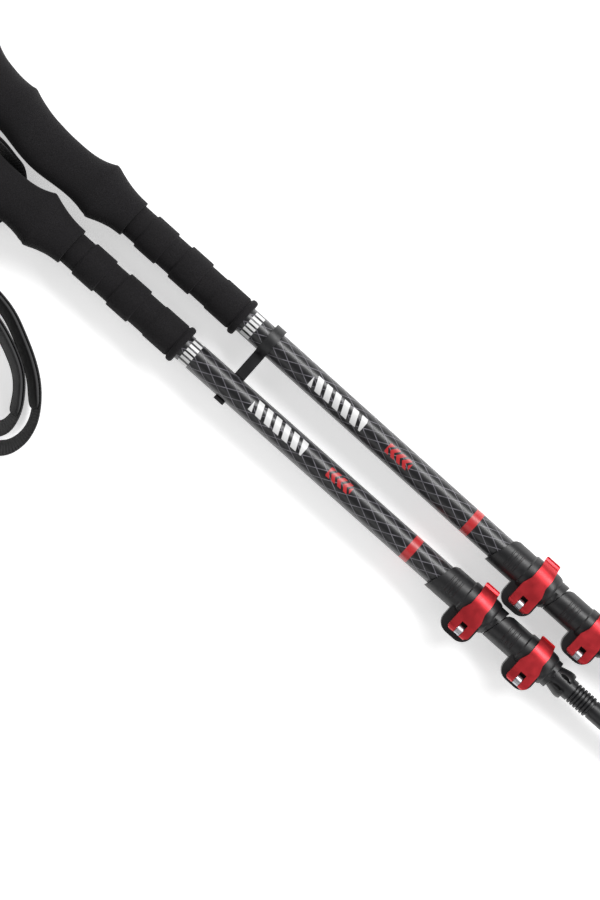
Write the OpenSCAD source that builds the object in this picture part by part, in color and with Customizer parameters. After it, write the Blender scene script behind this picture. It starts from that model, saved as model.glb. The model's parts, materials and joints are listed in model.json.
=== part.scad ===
// A pair of three-section folding-lever trekking poles, collapsed and clipped together.
// Each pole is modelled along +X, handle at -X and tip at +X, with x = 0 where the foam grip ends.
// The side of the finger ridges is +Y and the side of the clamp ears is -Y.

/* [Tubes] */
// Outer diameter of the upper tube
upper_d = 16; // [15:0.5:19]
// Outer diameter of the middle tube
middle_d = 14; // [13:0.5:14.4]
// Outer diameter of the lower tube
lower_d = 12; // [10.5:0.5:12.4]
// Wall of all three tubes
tube_wall = 0.8; // [0.7:0.05:0.9]
// Upper tube, from the grip's lower end to its end in the upper clamp
upper_reach = 206; // [180:1:260]
// Part of the upper tube inside the grip
upper_in_grip = 190; // [150:1:192]
// Distance between the two clamps of a collapsed pole
clamp_pitch = 42.7; // [42:0.5:80]
// Middle tube, from its top to its end in the lower clamp
middle_len = 416; // [300:1:416]
// Lower tube, from its top to the ferrule
lower_len = 419; // [300:1:419]

/* [Grip] */
// Thickness of the foam head
head_thick = 32; // [30:0.5:36]
// Thickness of the foam where the hand closes
waist_thick = 22.4; // [20:0.2:22.6]
// Outer diameter of the raised foam bands
band_d = 22.4; // [20:0.2:24]
// Depth of the grooves between the bands
groove_depth = 1.2; // [0.4:0.1:1.6]
// Diameter of the strap pin
strap_pin_d = 3.8; // [3:0.1:4.4]
// Distance of the strap pin from the pole's axis
strap_pin_y = 10; // [8:0.5:10.5]

/* [Strap] */
// Width of the webbing
web_w = 18; // [14:0.5:19]
// Thickness of the webbing
web_t = 1.3; // [0.8:0.1:1.4]
// Width of the pad sewn inside the loop
pad_w = 20; // [16:0.5:21]
// Thickness of the pad
pad_t = 2.2; // [1.2:0.1:2.6]

/* [Clamps] */
// Wall of the upper clamp's collar
upper_collar_wall = 2.1; // [1.8:0.1:3]
// Wall of the lower clamp's collar
lower_collar_wall = 2.2; // [1.8:0.1:3]
// Extra radius of the clamping part over the collar
body_step = 0.8; // [0.5:0.1:1.2]
// Thickness of one clamp ear
ear_t = 5.3; // [4:0.1:5.6]
// Gap between the two ears
slit = 1.2; // [0.8:0.1:2]
// Thickness of the lever's arm
arm_t = 2.2; // [1.8:0.1:2.6]
// Diameter of the lever's hinge pin
lever_pin_d = 2.5; // [2:0.1:2.8]
// Diameter of the eye bolt's shank
bolt_d = 3; // [2.5:0.1:3.2]
// Outer diameter of the tension nut
nut_d = 9; // [8:0.5:10]

/* [Tip] */
// Diameter of the plain seat for a trekking basket
seat_d = 11.4; // [10:0.1:11.6]
// Length of the plain seat
seat_len = 9; // [6:0.5:12]
// Length of the tapered shaft below the seat
taper_len = 48.2; // [30:0.2:70]
// Diameter of the shaft's end, where a rubber foot fits
foot_seat_d = 8; // [7:0.1:9]
// Length of that end
foot_seat_len = 12; // [8:0.5:14]
// Diameter of the carbide tip
carbide_d = 4; // [3:0.1:5]

/* [Pair] */
// Distance between the two poles' axes at the grip's end
spacing = 34; // [34:0.2:42]
// How far pole B lies towards the tips
offset_b = 15.6; // [14:0.2:18]
// Angle between the two poles, in degrees
splay = 0.3; // [0.3:0.1:0.4]
// Width of the pole clip
clip_w = 6.5; // [5:0.5:9]
// Thickness of the pole clip's hooks
clip_t = 2; // [1.6:0.1:2.6]
// Position of the pole clip along pole A
clip_x = 34.4; // [20:0.2:60]

/* [Hidden] */
$fn = 64;

// Clearances
slide_gap = 0.06;
shaft_gap = 0.05;
soft_gap = 0.3;
cam_gap = 0.3;
lever_gap = 0.4;
hook_gap = 0.15;
over = 1;

// Grip outline: station, ridge side, ear side and half thickness as a share of waist to head
grip_end = -83.3;
waist_half = waist_thick / 2;
head_half = head_thick / 2;
GRIP = [
  [-83.3, 11.8, -11.6, 0.02], [-90, 12.1, -12.3, 0.12], [-97, 13.2, -14.2, 0.26],
  [-104, 15.1, -16.9, 0.38], [-106, 15.8, -16.5, 0.4], [-109.2, 16.6, -16, 0.4],
  [-111, 15.8, -15.6, 0.36], [-115, 14.1, -15.1, 0.26], [-120, 12.7, -14.9, 0.12],
  [-126, 11.9, -15.2, 0.02], [-133, 11.7, -15.9, 0], [-140, 11.8, -16.5, 0],
  [-147, 12.3, -16.5, 0.1], [-154, 13.1, -15.8, 0.26], [-161, 14.6, -14.6, 0.46],
  [-167, 16.4, -13.4, 0.64], [-171.6, 18, -12.8, 0.74], [-175, 17.5, -12.6, 0.78],
  [-182, 17.4, -12.6, 0.84], [-189, 18.2, -12.7, 0.9], [-196, 19.6, -13.1, 0.95],
  [-202, 21.9, -13.5, 0.98], [-207, 24.9, -14.3, 1], [-211, 28, -14.8, 0.99],
  [-213.6, 29.8, -12.6, 0.9], [-215.3, 29.9, -10.2, 0.76], [-217, 27.4, -7.6, 0.5],
  [-218.8, 23.6, -3.9, 0.1], [-220.3, 19, 0, -0.6], [-221.2, 14.2, 4.6, -1.7]
];
head_end = -221.4;
section_power = 2.3;
grip_sides = 28;

// Foam extension bands: from, to, share of the groove depth
BANDS = [[-73.3, -58.3, 0.1], [-48.3, -32.8, 0], [-21.7, -4.4, 0.5]];
bead_r = 11.7;
bead_w = 4;

// Radii of the tubes
upper_r = upper_d / 2;
upper_bore = upper_r - tube_wall;
middle_r = middle_d / 2;
middle_bore = middle_r - tube_wall;
lower_r = lower_d / 2;
lower_bore = lower_r - tube_wall;
clamp_gap = 0.6;

// Clamps: stations are counted from the end of the tube that the clamp is glued to
upper_mouth = -15.15;
lower_mouth = -16.5;
BODY = 3.3;
BODY_END = 20.7;
EAR_FROM = 0.7;
EAR_TO = 20.7;
LEVER_X = 12.55;
SLIT_FROM = 2;
RIBS = [-8.8, -5.9, -3];
rib_h = 0.35;
rib_w = 1.3;
rib_half = 5.2;
dome_len = 5;
ring_w = 3;
MOUTH_TURNS = [42, 66];
MOUTH_STEPS = [2.6, 0.9];
window_w = 4.4;
upper_end = clamp_pitch + lower_mouth - clamp_gap;
lower_end = 26;
mouth_slope = 16.8;
joint_slope = 13.4;
upper_ear_y = 21.8;
lower_ear_y = 19.5;
ear_round = 7;
ear_top = slit / 2 + ear_t;
plate_t = 0.5;
cam_r = 2.9;
eye_r = 2.8;
eye_w = 3.4;
notch_w = 4.1;
notch_back = 4.9;
pin_z = ear_top + plate_t + cam_gap + cam_r;
upper_pin_y = -16;
lower_pin_y = -15.3;
base_half = 6.85;
arm_half = 5;
bolt_hole_gap = 0.2;
nut_h = 4;
nut_gap = 0.3;
bolt_tail = 0.6;

// Stations along a pole
plug_flange = 3.5;
plug_spigot = 14;
spigot_len = 14;
flange_len = 4;
upper_top = -upper_in_grip;
middle_seat = upper_reach + clamp_pitch;
middle_top = middle_seat - middle_len;
ferrule_x = middle_seat + lower_end + clamp_gap;
lower_top = ferrule_x - lower_len;

// Tip section
lug_len = 9.7;
lug_r0 = 6.7;
lug_r1 = 8.2;
thread_r = 6.2;
thread_root = 5.1;
thread_pitch = 2.2;
thread_count = 6;
thread_crest = 1.25;
collar_len = 3.6;
stop_y = 3.4;
spigot_ferrule = 26;
holder_len = 5;
holder_r = 3.1;
carbide_len = 9;
carbide_in = 5;
thread_x = ferrule_x + lug_len + collar_len;
seat_x = thread_x + thread_count * thread_pitch + 1.5;
taper_x = seat_x + seat_len;
foot_x = taper_x + taper_len;
holder_x = foot_x + foot_seat_len;
tip_x = holder_x + holder_len + carbide_len - carbide_in;

// Strap anchor
strap_pin_x = -203.5;
strap_pin_half = 11;
turn_r = strap_pin_d / 2 + soft_gap + web_t / 2;
slot_half_x = turn_r + web_t / 2 + 0.5;
slot_half_z = web_w / 2 + 0.8;
slot_floor = -strap_pin_y + turn_r + web_t / 2 + 0.5;
slot_reach = 2.4;
axis_z = head_half;

// Strap routes. Each point is x, y, height of the webbing's middle and its lean from upright,
// in pole A's axes. Both loops run clockwise seen from above.
ROUTE_A = [
  [-198.5, -22, 15.2, 0], [-192, -33, 13.5, 8], [-180, -43, 12.2, 14], [-163, -50, 11.8, 16],
  [-143, -54, 11.8, 16], [-120, -56, 11.8, 16], [-99, -57, 11.8, 16], [-85, -59, 11.8, 16],
  [-70, -64.5, 11.8, 16], [-58, -71.5, 11.8, 16], [-49.5, -81, 11.8, 16], [-45, -91, 11.8, 20],
  [-45.5, -100.5, 11.4, 28], [-53, -107.5, 11.2, 30], [-66, -110, 11.2, 28],
  [-88, -110.5, 11.6, 20], [-112, -110, 11.8, 16], [-138, -111, 11.8, 16],
  [-163, -109.5, 11.8, 16], [-186, -99, 11.8, 16], [-202, -79, 12, 14], [-209, -55, 12.6, 10],
  [-209.5, -34, 14, 4], [-207.5, -22, 15.2, 0]
];
ROUTE_B = [
  [-189.6, 20.4, 16, 0], [-186, 18.9, 15.7, 0], [-180, 18.6, 14.6, 0], [-173, 19.1, 13, 0],
  [-166, 18.2, 11.6, 2], [-158, 16.4, 10.7, 8], [-150, 14.6, 10.3, 20], [-143.5, 12.2, 9, 38],
  [-137.5, 9.1, 6.6, 62], [-133, 3.8, 3.6, 84], [-130.5, -3.5, 2.65, 90],
  [-131, -12, 2.65, 90], [-134, -21, 2.65, 90], [-136, -29, 4.2, 80], [-135, -36.5, 8, 54],
  [-130, -43, 10.4, 32], [-121, -47, 11.2, 22], [-110, -47.8, 11.4, 18], [-98, -47.5, 11.4, 18],
  [-84, -50, 11.4, 18], [-70, -56, 11.4, 18], [-57, -63, 11.4, 18], [-46.5, -71, 11.4, 18],
  [-38.5, -80.5, 11.4, 18], [-34.2, -90, 11.4, 20], [-33.8, -100, 11.2, 24],
  [-38, -109, 11, 28], [-49, -116, 10.8, 28], [-66, -119.5, 11, 24], [-88, -121, 11.2, 20],
  [-112, -122, 11, 12], [-131, -124, 10.6, -6], [-147, -126, 8.8, -34], [-159, -124.5, 5.4, -62],
  [-168, -118, 1.95, -84], [-171, -107, 1.05, -90], [-168, -94, 1.05, -90],
  [-163, -80, 1.05, -90], [-156, -65, 1.05, -90], [-149, -50, 1.05, -90],
  [-142.5, -36, 1.05, -90], [-136.5, -23, 1.05, -90], [-131.5, -12, 1.05, -90],
  [-130.3, -3.5, 1.05, -90], [-132.8, 3.9, 1.96, -84], [-136.9, 9.7, 5.2, -62],
  [-142.9, 13.3, 7.95, -38], [-149.8, 16.2, 9.75, -20], [-158, 18, 10.3, -8],
  [-166, 19.9, 11.6, -2], [-173, 20.9, 13, 0], [-180, 20.4, 14.8, 0], [-184.1, 20.5, 15.8, 0]
];
// Route points between which each pad lies
pad_span_a = [4, 11];
pad_span_b = [17, 23];
ribbon_steps = 3;

// ---- functions ----

// Places a point of pole B's own axes in pole A's axes
function in_b(p) = [
  offset_b + p[0] * cos(splay) + p[1] * sin(splay),
  spacing - p[0] * sin(splay) + p[1] * cos(splay)
];
// Turn of the webbing round the strap pin, in a pole's own axes; side = 1 leaves at the tip side
function pin_turn(side) = [
  for (a = [-180 : 30 : 0])
    [strap_pin_x + side * turn_r * cos(a), -strap_pin_y - turn_r * sin(a)]
];
function slot_run(side) = [strap_pin_x + side * turn_r, -strap_pin_y - slot_reach];
function closed_route(turn, run_out, route, run_in) = concat(
  [for (p = turn) [p[0], p[1], axis_z, 0]],
  [[run_out[0], run_out[1], axis_z, 0]],
  route,
  [[run_in[0], run_in[1], axis_z, 0]]
);
route_a = closed_route(pin_turn(1), slot_run(1), ROUTE_A, slot_run(-1));
route_b = closed_route(
  [for (p = pin_turn(-1)) in_b(p)], in_b(slot_run(-1)), ROUTE_B, in_b(slot_run(1))
);
turn_points = len(pin_turn(1)) + 1;

// Closed Catmull-Rom curve through a list of points
function smooth(p0, p1, p2, p3, u) = 0.5 * (
  2 * p1 + (p2 - p0) * u + (2 * p0 - 5 * p1 + 4 * p2 - p3) * u * u
  + (3 * p1 - p0 - 3 * p2 + p3) * u * u * u
);
function curve(points) = let (n = len(points)) [
  for (i = [0 : n - 1])
    for (k = [0 : ribbon_steps - 1])
      smooth(
        points[(i + n - 1) % n], points[i], points[(i + 1) % n], points[(i + 2) % n],
        k / ribbon_steps
      )
];
function unit(v) = v / norm(v);
function place(p) = [p[0], p[1], p[2]];
// Frame of a ribbon at one point: the middle, the width's direction and the face's direction
function ribbon_frame(path, i) = let (
  n = len(path),
  t = unit(place(path[(i + 1) % n]) - place(path[(i + n - 1) % n])),
  side = unit(cross([0, 0, 1], t)),
  up = cross(t, side),
  w = up * cos(path[i][3]) + side * sin(path[i][3])
) [place(path[i]), w, cross(t, w)];
function ribbon_ring(frame, width, thick, shift) = let (
  c = frame[0] + frame[2] * shift,
  w = frame[1] * width / 2,
  n = frame[2] * thick / 2
) [c - w - n, c + w - n, c + w + n, c - w + n];

// Half thickness of the grip from its share
function half_thick(share) = waist_half + share * (head_half - waist_half);
function section(s) = let (
  mid = (s[1] + s[2]) / 2,
  half = (s[1] - s[2]) / 2,
  thick = half_thick(s[3])
) [
  for (k = [0 : grip_sides - 1]) let (
    a = 360 * k / grip_sides,
    c = cos(a),
    d = sin(a),
    e = 2 / section_power
  ) [s[0], mid + half * sign(c) * pow(abs(c), e), thick * sign(d) * pow(abs(d), e)]
];

// ---- placing ----

web_path_a = curve(route_a);
web_path_b = curve(route_b);
low_y = min([
  for (path = [web_path_a, web_path_b])
    for (i = [0 : len(path) - 1])
      for (p = ribbon_ring(ribbon_frame(path, i), web_w, web_t, 0)) p[1]
]);
high_y = max([for (s = GRIP) in_b([s[0], s[1]])[1]]);
mid_x = (head_end + in_b([tip_x, carbide_d / 2 - 1])[0]) / 2;
mid_y = (low_y + high_y) / 2;

module in_pole_a() translate([-mid_x, -mid_y, axis_z]) children();
module in_pole_b()
  translate([offset_b - mid_x, spacing - mid_y, axis_z]) rotate([0, 0, -splay]) children();
module on_floor() translate([-mid_x, -mid_y, 0]) children();

// ---- basic shapes ----

module rod(r, from, to) translate([from, 0, 0]) rotate([0, 90, 0]) cylinder(r = r, h = to - from);
module turned(outline) rotate([0, 90, 0]) rotate_extrude() polygon(outline);
module tube(r, bore, from, to) difference() {
  rod(r, from, to);
  rod(bore, from - over, to + over);
}
// Half spaces on the two sides of a plane that leans across the pole's width
module ahead_of(x, slope, size = 80) translate([x, 0, 0]) rotate([0, 0, -slope])
  translate([0, -size / 2, -size / 2]) cube(size);
module behind(x, slope, size = 80) translate([x, 0, 0]) rotate([0, 0, -slope])
  translate([-size, -size / 2, -size / 2]) cube(size);

// ---- grip and strap ----

module grip() {
  n = grip_sides;
  rows = len(GRIP);
  points = concat([for (s = GRIP) each section(s)], [[head_end, 9.4, 0]]);
  difference() {
    polyhedron(
      points,
      concat(
        [[for (k = [0 : n - 1]) n - 1 - k]],
        [for (r = [0 : rows - 2]) for (k = [0 : n - 1])
          [r * n + k, r * n + (k + 1) % n, (r + 1) * n + (k + 1) % n]],
        [for (r = [0 : rows - 2]) for (k = [0 : n - 1])
          [r * n + k, (r + 1) * n + (k + 1) % n, (r + 1) * n + k]],
        [for (k = [0 : n - 1]) [(rows - 1) * n + k, (rows - 1) * n + (k + 1) % n, rows * n]]
      )
    );
    rod(upper_r, upper_top - plug_flange, over);
    translate([strap_pin_x - slot_half_x, slot_floor - 30, -slot_half_z])
      cube([2 * slot_half_x, 30, 2 * slot_half_z]);
    translate([strap_pin_x, -strap_pin_y, -strap_pin_half])
      cylinder(d = strap_pin_d, h = 2 * strap_pin_half);
  }
}

module grip_extension() {
  band_r = band_d / 2;
  low_r = band_r - groove_depth;
  edge = 0.6;
  turned(concat(
    [[upper_r, grip_end], [low_r, grip_end]],
    [for (b = BANDS) each [
      [low_r, b[0] - edge], [band_r - b[2] * groove_depth, b[0]],
      [band_r - b[2] * groove_depth, b[1] - edge], [low_r, b[1]]
    ]],
    [[bead_r - 0.6, -bead_w], [bead_r, -bead_w + 0.6], [bead_r, -0.8], [bead_r - 0.8, 0],
     [upper_r, 0]]
  ));
}

module grip_plug() {
  rod(upper_r, upper_top - plug_flange, upper_top);
  rod(upper_bore, upper_top, upper_top + plug_spigot);
}

module strap_pin() translate([strap_pin_x, -strap_pin_y, -strap_pin_half])
  cylinder(d = strap_pin_d, h = 2 * strap_pin_half);

module closed_ribbon(path, width, thick) {
  n = len(path);
  polyhedron(
    [for (i = [0 : n - 1]) each ribbon_ring(ribbon_frame(path, i), width, thick, 0)],
    concat(
      [for (i = [0 : n - 1]) for (k = [0 : 3])
        [4 * i + k, 4 * i + (k + 1) % 4, 4 * ((i + 1) % n) + (k + 1) % 4]],
      [for (i = [0 : n - 1]) for (k = [0 : 3])
        [4 * i + k, 4 * ((i + 1) % n) + (k + 1) % 4, 4 * ((i + 1) % n) + k]]
    )
  );
}

module open_ribbon(path, from, to, width, thick, shift) {
  n = to - from + 1;
  polyhedron(
    [for (i = [from : to]) each ribbon_ring(ribbon_frame(path, i), width, thick, shift)],
    concat(
      [[0, 3, 2, 1], [4 * n - 4, 4 * n - 3, 4 * n - 2, 4 * n - 1]],
      [for (i = [0 : n - 2]) for (k = [0 : 3])
        [4 * i + k, 4 * i + (k + 1) % 4, 4 * i + 4 + (k + 1) % 4]],
      [for (i = [0 : n - 2]) for (k = [0 : 3])
        [4 * i + k, 4 * i + 4 + (k + 1) % 4, 4 * i + 4 + k]]
    )
  );
}

module strap(path) closed_ribbon(path, web_w, web_t);
module strap_pad(path, span) open_ribbon(
  path, (turn_points + span[0]) * ribbon_steps, (turn_points + span[1]) * ribbon_steps,
  pad_w, pad_t, web_t / 2 + soft_gap + pad_t / 2
);

// ---- tubes ----

module upper_tube() tube(upper_r, upper_bore, upper_top, upper_reach);
module middle_tube() tube(middle_r, middle_bore, middle_top, middle_seat);
module lower_tube() tube(lower_r, lower_bore, lower_top, ferrule_x);
module bushing(top, r, bore) {
  rod(r, top - flange_len, top);
  rod(bore, top, top + spigot_len);
}

// ---- clamps ----

// Rounded ear seen from above, reaching down to -reach
module ear_outline(reach) {
  from = EAR_FROM;
  to = EAR_TO;
  translate([from, ear_round - reach]) square([to - from, reach - ear_round]);
  translate([from + ear_round, -reach]) square([to - from - 2 * ear_round, reach]);
  translate([from + ear_round, ear_round - reach]) circle(ear_round);
  translate([to - ear_round, ear_round - reach]) circle(ear_round);
}

// A mouth that leans across the pole's width and turns away before the side it leans to
module leaning_mouth(x, side, slope) {
  first = x + (side - MOUTH_STEPS[0]) * (tan(slope) - tan(MOUTH_TURNS[0]));
  second = first + (side - MOUTH_STEPS[1]) * (tan(MOUTH_TURNS[0]) - tan(MOUTH_TURNS[1]));
  behind(x, slope);
  behind(first, MOUTH_TURNS[0]);
  behind(second, MOUTH_TURNS[1]);
}
// Clamp glued on a tube that ends at x = seat; the next tube runs through its lower half
module clamp(seat, tube_r, next_r, wall, mouth, mouth_slope, end, end_slope, ear_y, pin_y) {
  collar = tube_r + wall;
  body = collar + body_step;
  neck = body - 1.5;
  spare = 4;
  translate([seat, 0, 0]) difference() {
    union() {
      turned(concat(
        [[0, mouth - spare], [collar, mouth - spare], [collar, BODY - 0.8], [body, BODY]],
        [for (k = [0 : 6]) let (a = 15 * k)
          [neck + (body - neck) * cos(a), end - dome_len - ring_w + dome_len * sin(a)]],
        [[neck, end + spare], [0, end + spare]]
      ));
      intersection() {
        union() for (x = RIBS) turned([
          [0, x - rib_w / 2], [collar, x - rib_w / 2], [collar + rib_h, x - rib_w / 4],
          [collar + rib_h, x + rib_w / 4], [collar, x + rib_w / 2], [0, x + rib_w / 2]
        ]);
        translate([2 * mouth, -rib_half, -collar - 1]) cube([-2 * mouth, 2 * rib_half, 2 * collar + 2]);
      }
      translate([0, 0, -ear_top]) linear_extrude(2 * ear_top) ear_outline(ear_y);
    }
    rod(tube_r, mouth - 2 * spare, 0);
    rod(next_r + slide_gap, -over, end + 2 * spare);
    leaning_mouth(mouth, collar, mouth_slope);
    ahead_of(end, end_slope);
    translate([SLIT_FROM, -40, -slit / 2]) cube([40, 40, slit]);
    translate([end - ring_w + 0.5, -window_w / 2, neck - 0.6]) cube([ring_w - 1.3, window_w, 4]);
    translate([LEVER_X, pin_y, -20]) cylinder(r = bolt_d / 2 + bolt_hole_gap, h = 40);
  }
}

module cam_plate(seat, pin_y) translate([seat + LEVER_X, pin_y, ear_top]) difference() {
  translate([-5.5, -cam_r, 0]) cube([11, 2 * cam_r, plate_t]);
  translate([0, 0, -over]) cylinder(r = bolt_d / 2 + bolt_hole_gap, h = 3);
}

// Side outline of the lever in the pole's cross-section: cam, flat plate, arm round the tube, lip.
// Angles are counted from +Y towards +Z.
module lever_side(body, pin_y, lip_y) {
  inner = body + lever_gap;
  outer = inner + arm_t;
  // Direction square to the flat top, which touches both the cam and the arm's outer curve
  top = atan2(pin_z, pin_y) - acos((outer - cam_r) / norm([pin_y, pin_z]));
  under = 140;
  tail = 14;
  polygon(concat(
    [for (k = [0 : 14]) let (a = top + k * (300 - top) / 14)
      [pin_y + cam_r * cos(a), pin_z + cam_r * sin(a)]],
    [for (k = [0 : 20]) let (a = under + k * (tail - under) / 20) [inner * cos(a), inner * sin(a)]],
    [[lip_y - 0.7, inner * sin(tail) + 0.4], [lip_y, inner * sin(tail) + 1.5],
     [lip_y, inner * sin(tail) + 2.5], [lip_y - 0.5, inner * sin(tail) + 2.8],
     [lip_y - 1, inner * sin(tail) + 2.4]],
    [for (k = [0 : 12]) let (a = tail + 11 + k * (top - tail - 11) / 12)
      [outer * cos(a), outer * sin(a)]]
  ));
}

// Plan of the lever: wide base round the cam, narrower arm, tab with a flared lip
module lever_plan(pin_y, lip_y) {
  heel = pin_y - cam_r;
  offset(r = 0.9) offset(delta = -0.9) offset(delta = -2.5) offset(r = 2.5) polygon([
    [1.2 - base_half, heel], [base_half - 2.2, heel], [base_half, heel + 2.2], [base_half, -5.4],
    [arm_half, -0.4], [arm_half, 6], [4.4, 9.5], [3.6, lip_y], [-5.9, lip_y], [-5, 8],
    [-arm_half, -0.4], [-base_half, -5.4], [-base_half, heel + 1.2]
  ]);
}

module lever(seat, body, pin_y, lip_y) translate([seat + LEVER_X, 0, 0]) difference() {
  intersection() {
    translate([-base_half, 0, 0]) rotate([90, 0, 90])
      linear_extrude(2 * base_half) lever_side(body, pin_y, lip_y);
    linear_extrude(30) lever_plan(pin_y, lip_y);
  }
  translate([-notch_w / 2, pin_y - 10, 0]) cube([notch_w, 10 + notch_back, 30]);
  translate([0, pin_y, pin_z]) rod(lever_pin_d / 2, -base_half - over, base_half + over);
}

module lever_pin(seat, pin_y) translate([seat + LEVER_X, pin_y, pin_z])
  rod(lever_pin_d / 2, -base_half + 0.3, base_half - 0.3);

module eye_bolt(seat, pin_y) translate([seat + LEVER_X, pin_y, 0]) difference() {
  union() {
    translate([0, 0, pin_z]) rod(eye_r, -eye_w / 2, eye_w / 2);
    translate([0, 0, -ear_top - nut_gap - nut_h - bolt_tail])
      cylinder(d = bolt_d, h = pin_z + ear_top + nut_gap + nut_h + bolt_tail - 1.8);
  }
  translate([0, 0, pin_z]) rod(lever_pin_d / 2 + shaft_gap, -5, 5);
}

module tension_nut(seat, pin_y) translate([seat + LEVER_X, pin_y, -ear_top - nut_gap - nut_h])
  difference() {
    union() {
      cylinder(d = nut_d - 0.6, h = nut_h);
      for (k = [0 : 9]) rotate([0, 0, 36 * k]) translate([nut_d / 2 - 0.7, 0, 0.4])
        cylinder(r = 0.7, h = nut_h - 0.8, $fn = 20);
    }
    translate([0, 0, -over]) cylinder(r = bolt_d / 2 + shaft_gap, h = nut_h + 2 * over);
  }

// ---- tip ----

module ferrule() difference() {
  union() {
    turned(concat(
      [[0, ferrule_x - spigot_ferrule], [lower_bore, ferrule_x - spigot_ferrule],
       [lower_bore, ferrule_x], [lug_r0, ferrule_x], [thread_r, ferrule_x + lug_len],
       [thread_r, thread_x], [thread_root, thread_x + 0.3]],
      [for (k = [0 : thread_count - 1]) let (x = thread_x + k * thread_pitch + 0.6) each [
        [thread_root, x], [thread_r, x + 0.4], [thread_r, x + 0.4 + thread_crest],
        [thread_root, x + 0.8 + thread_crest]
      ]],
      [[thread_root, seat_x], [seat_d / 2, seat_x], [seat_d / 2, taper_x],
       [foot_seat_d / 2, foot_x], [foot_seat_d / 2, holder_x],
       [0, holder_x]]
    ));
    for (s = [-1, 1]) intersection() {
      turned([
        [0, ferrule_x + 0.4], [lug_r0 + 0.1, ferrule_x + 0.4], [lug_r0 + 0.8, ferrule_x + 3],
        [lug_r1, ferrule_x + 6], [lug_r1 + 0.1, ferrule_x + 8], [lug_r1 - 0.4, ferrule_x + lug_len],
        [0, ferrule_x + lug_len]
      ]);
      translate([ferrule_x, s > 0 ? stop_y : -stop_y - 10, -10]) cube([lug_len + 1, 10, 20]);
    }
  }
  for (s = [-1, 1]) for (t = [-1, 1])
    translate([ferrule_x + 4.8, s * stop_y, t > 0 ? 4.2 : -10.2]) linear_extrude(6)
      scale([2.6, 1]) circle(1.1, $fn = 32);
  rod(carbide_d / 2, holder_x - carbide_in, holder_x + over);
}

module tip_holder() tube(holder_r, carbide_d / 2, holder_x, holder_x + holder_len);
module carbide_tip() {
  r = carbide_d / 2;
  from = holder_x - carbide_in;
  turned([[0, from], [r, from], [r, tip_x - 1.2], [r - 0.5, tip_x], [r - 1, tip_x - 0.7],
          [0, tip_x - 0.7]]);
}

// ---- pole clip ----

// U-shaped hook round a tube of radius upper_r, open towards dir on Z
module hook(dir) difference() {
  union() {
    rod(upper_r + hook_gap + clip_t, -clip_w / 2, clip_w / 2);
    translate([-clip_w / 2, -upper_r - hook_gap - clip_t, dir > 0 ? 0 : -2])
      cube([clip_w, 2 * (upper_r + hook_gap + clip_t), 2]);
  }
  rod(upper_r + hook_gap, -clip_w, clip_w);
  translate([-clip_w, -upper_r - hook_gap, dir > 0 ? 0 : -30])
    cube([2 * clip_w, 2 * (upper_r + hook_gap), 30]);
  translate([-clip_w, -30, dir > 0 ? 2 : -32]) cube([2 * clip_w, 60, 30]);
}

module two_hooks() {
  reach = upper_r + hook_gap;
  b_x = clip_x - offset_b;
  b_y = in_b([b_x, 0])[1];
  translate([clip_x, 0, 0]) hook(1);
  translate([offset_b, spacing, 0]) rotate([0, 0, -splay]) translate([b_x, 0, 0]) hook(-1);
  translate([clip_x - clip_w / 2, reach + clip_t / 2, -2])
    cube([clip_w, b_y - 2 * reach - clip_t, 4]);
}

// ---- one module per piece ----

upper_body = upper_r + upper_collar_wall + body_step;
lower_body = middle_r + lower_collar_wall + body_step;
upper_lip = 14.6;
lower_lip = 12.7;

module upper_clamp() clamp(upper_reach, upper_r, middle_r, upper_collar_wall,
  upper_mouth, mouth_slope, upper_end, joint_slope, upper_ear_y, upper_pin_y);
module lower_clamp() clamp(middle_seat, middle_r, lower_r, lower_collar_wall,
  lower_mouth, joint_slope, lower_end, 0, lower_ear_y, lower_pin_y);

foam = "#27262a";
webbing = "#1c1c1f";
padding = "#232326";
carbon = "#3a3a3e";
plastic = "#2b2b2d";
anodised = "#c0303a";
steel = "#c4c6c8";
carbide = "#6f7276";

module a_grip() color(foam) in_pole_a() grip();
module a_grip_extension() color(foam) in_pole_a() grip_extension();
module a_grip_plug() color(plastic) in_pole_a() grip_plug();
module a_strap_pin() color(steel) in_pole_a() strap_pin();
module a_strap() color(webbing) on_floor() strap(web_path_a);
module a_strap_pad() color(padding) on_floor() strap_pad(web_path_a, pad_span_a);
module a_upper_tube() color(carbon) in_pole_a() upper_tube();
module a_upper_clamp() color(plastic) in_pole_a() upper_clamp();
module a_upper_cam_plate() color(steel) in_pole_a() cam_plate(upper_reach, upper_pin_y);
module a_upper_lever() color(anodised)
  in_pole_a() lever(upper_reach, upper_body, upper_pin_y, upper_lip);
module a_upper_lever_pin() color(steel) in_pole_a() lever_pin(upper_reach, upper_pin_y);
module a_upper_eye_bolt() color(steel) in_pole_a() eye_bolt(upper_reach, upper_pin_y);
module a_upper_nut() color(plastic) in_pole_a() tension_nut(upper_reach, upper_pin_y);
module a_middle_tube() color(carbon) in_pole_a() middle_tube();
module a_middle_bushing() color(plastic)
  in_pole_a() bushing(middle_top, upper_bore - slide_gap, middle_bore);
module a_lower_clamp() color(plastic) in_pole_a() lower_clamp();
module a_lower_cam_plate() color(steel) in_pole_a() cam_plate(middle_seat, lower_pin_y);
module a_lower_lever() color(anodised)
  in_pole_a() lever(middle_seat, lower_body, lower_pin_y, lower_lip);
module a_lower_lever_pin() color(steel) in_pole_a() lever_pin(middle_seat, lower_pin_y);
module a_lower_eye_bolt() color(steel) in_pole_a() eye_bolt(middle_seat, lower_pin_y);
module a_lower_nut() color(plastic) in_pole_a() tension_nut(middle_seat, lower_pin_y);
module a_lower_tube() color(carbon) in_pole_a() lower_tube();
module a_lower_bushing() color(plastic)
  in_pole_a() bushing(lower_top, middle_bore - slide_gap, lower_bore);
module a_ferrule() color(plastic) in_pole_a() ferrule();
module a_tip_holder() color(steel) in_pole_a() tip_holder();
module a_carbide_tip() color(carbide) in_pole_a() carbide_tip();

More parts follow.
